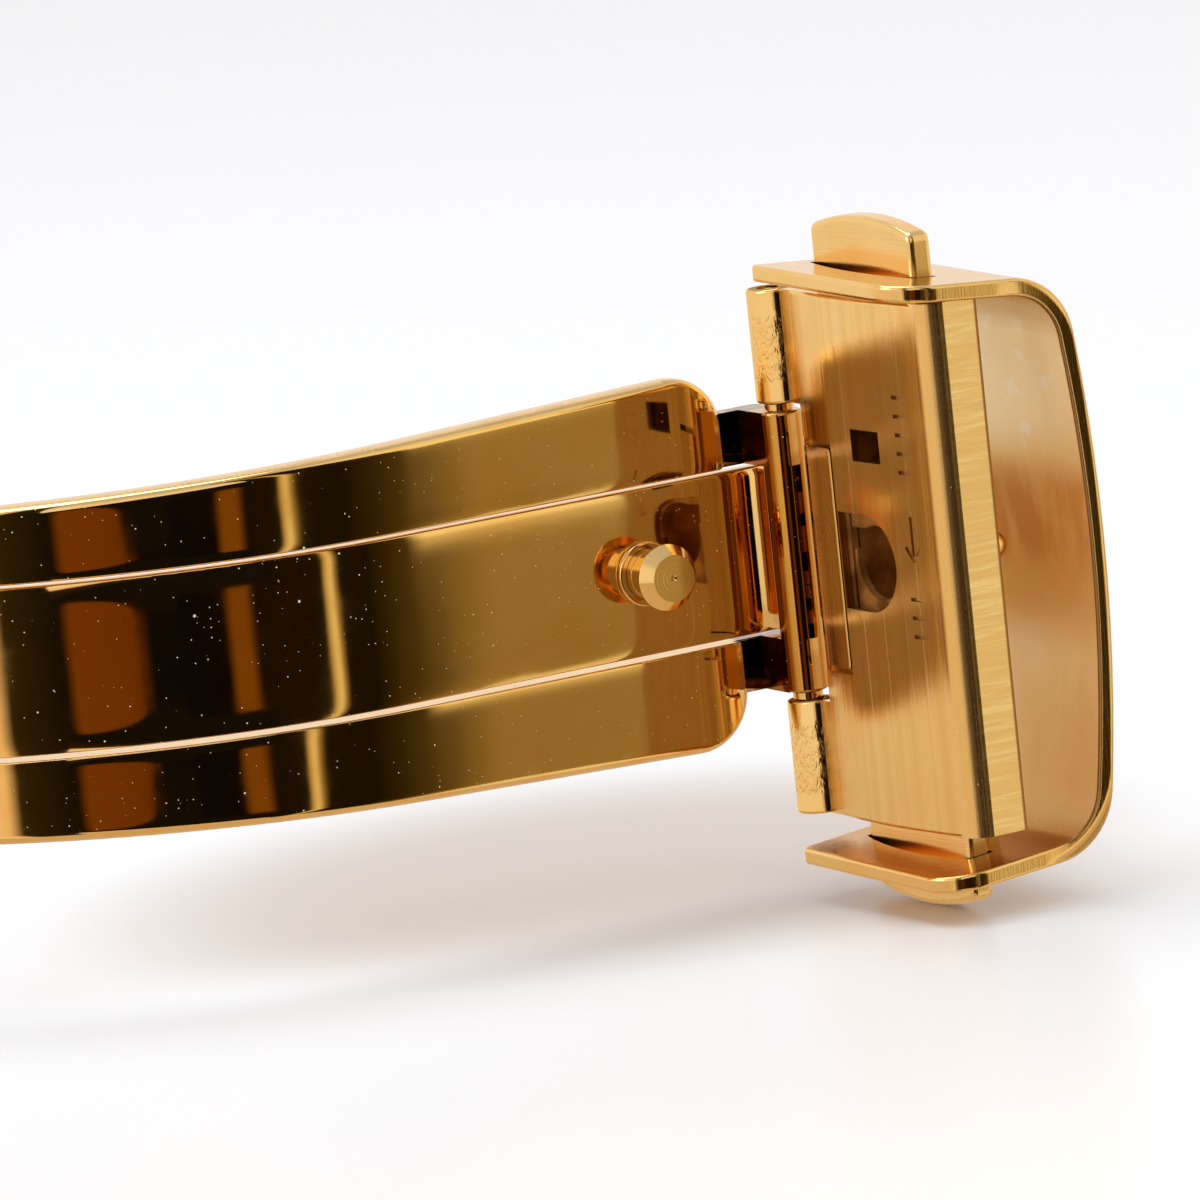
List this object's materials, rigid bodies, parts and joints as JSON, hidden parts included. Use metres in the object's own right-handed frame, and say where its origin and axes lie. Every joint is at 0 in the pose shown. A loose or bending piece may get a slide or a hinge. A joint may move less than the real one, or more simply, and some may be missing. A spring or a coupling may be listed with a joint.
{
  "type": "deployant clasp",
  "caption": "Folding clasp for a watch strap: curved nested blades, a hinged head with catch box and cover, a catch stud and side push buttons.",
  "frame": {"origin": "middle of the bore at the right end of the centre blade that takes the strap's spring bar", "axes": "+Z along the bore and both hinges, -X along the blades, -Y away from the wrist; the clasp stands on its side"},
  "size_m": [0.0358, 0.0204, 0.0228],
  "materials": {
    "polished_gold": "mirror polished, yellow gold colour",
    "brushed_gold": "brushed along the hinges, yellow gold colour",
    "satin_gold": "polished outside and satin inside, yellow gold colour",
    "filed_gold": "filed and lightly worn, yellow gold colour",
    "pin_steel": "ground pin steel",
    "spring_steel": "drawn spring wire"
  },
  "bodies": {
    "centre_blade": {"centre_blade": "polished_gold", "catch_stud": "polished_gold", "stud_collar": "polished_gold"},
    "frame": {"frame_blade": "polished_gold", "fold_pin": "pin_steel", "fold_washers": "polished_gold"},
    "head": {"hinge_block": "filed_gold", "head_pin": "pin_steel", "head_washers": "polished_gold", "stop_block": "brushed_gold", "catch_box": "brushed_gold", "back_plate": "brushed_gold", "back_plate_rivets": "filed_gold", "strap_tang": "polished_gold", "stud_well": "filed_gold", "head_cover": "satin_gold", "side_bridges": "filed_gold", "hinge_side_spring": "spring_steel", "free_side_spring": "spring_steel"},
    "upper_button": {"upper_button": "brushed_gold", "upper_catch": "filed_gold"},
    "lower_button": {"lower_button": "brushed_gold", "lower_catch": "filed_gold"}
  },
  "joints": [
    {"name": "blade_fold", "type": "hinge", "parent": "centre_blade", "child": "frame", "pos_m": [-0.03287, 0.00744, 0], "axis": [0, 0, -1], "range_deg": [0, 150]},
    {"name": "head_hinge", "type": "hinge", "parent": "frame", "child": "head", "pos_m": [-0.0035, -0.0016, 0], "axis": [0, 0, 1], "range_deg": [-90, 12]},
    {"name": "upper_press", "type": "slide", "parent": "head", "child": "upper_button", "axis": [0, 0, -1], "range_m": [-0.00035, 0.0007], "stiffness_N_per_m": 900, "deforming": ["hinge_side_spring", "free_side_spring"]},
    {"name": "lower_press", "type": "slide", "parent": "head", "child": "lower_button", "axis": [0, 0, 1], "range_m": [-0.00035, 0.0007], "stiffness_N_per_m": 900, "deforming": ["hinge_side_spring", "free_side_spring"]}
  ]
}
